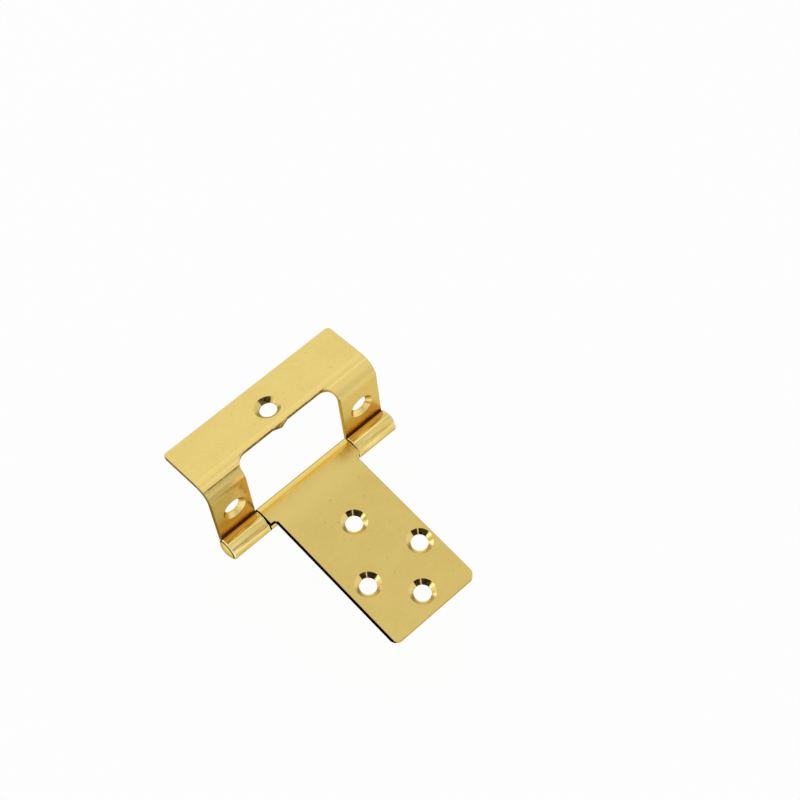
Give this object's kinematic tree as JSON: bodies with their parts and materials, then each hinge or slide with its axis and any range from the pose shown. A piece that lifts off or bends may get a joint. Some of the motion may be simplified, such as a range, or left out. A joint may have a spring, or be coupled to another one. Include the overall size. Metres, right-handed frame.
{
  "type": "cranked hinge",
  "caption": "Cranked flush hinge with a flat leaf that folds between the legs of a cranked leaf, whose flange wraps the edge of a panel.",
  "frame": {"origin": "on the flat leaf's underside, which seats on the door, midway between its two side holes", "axes": "X along the pin, -Y from the pin to the end of the flat leaf, +Z out of the door through the flat leaf's screw heads"},
  "size_m": [0.052, 0.065, 0.0241],
  "materials": {
    "flat_leaf_plating": "bright brass plating on pressed steel",
    "cranked_leaf_plating": "bright brass plating on pressed steel",
    "pin_plating": "bright brass plating on a steel pin"
  },
  "bodies": {
    "door_side": {"flat_leaf": "flat_leaf_plating"},
    "cabinet_side": {"cranked_leaf": "cranked_leaf_plating", "hinge_pin": "pin_plating"}
  },
  "joints": [
    {"name": "leaf_swing", "type": "hinge", "parent": "door_side", "child": "cabinet_side", "pos_m": [-0.0003, 0.0294, -0.0018], "axis": [-1, 0, 0], "range_deg": [-96.1, 222]}
  ]
}
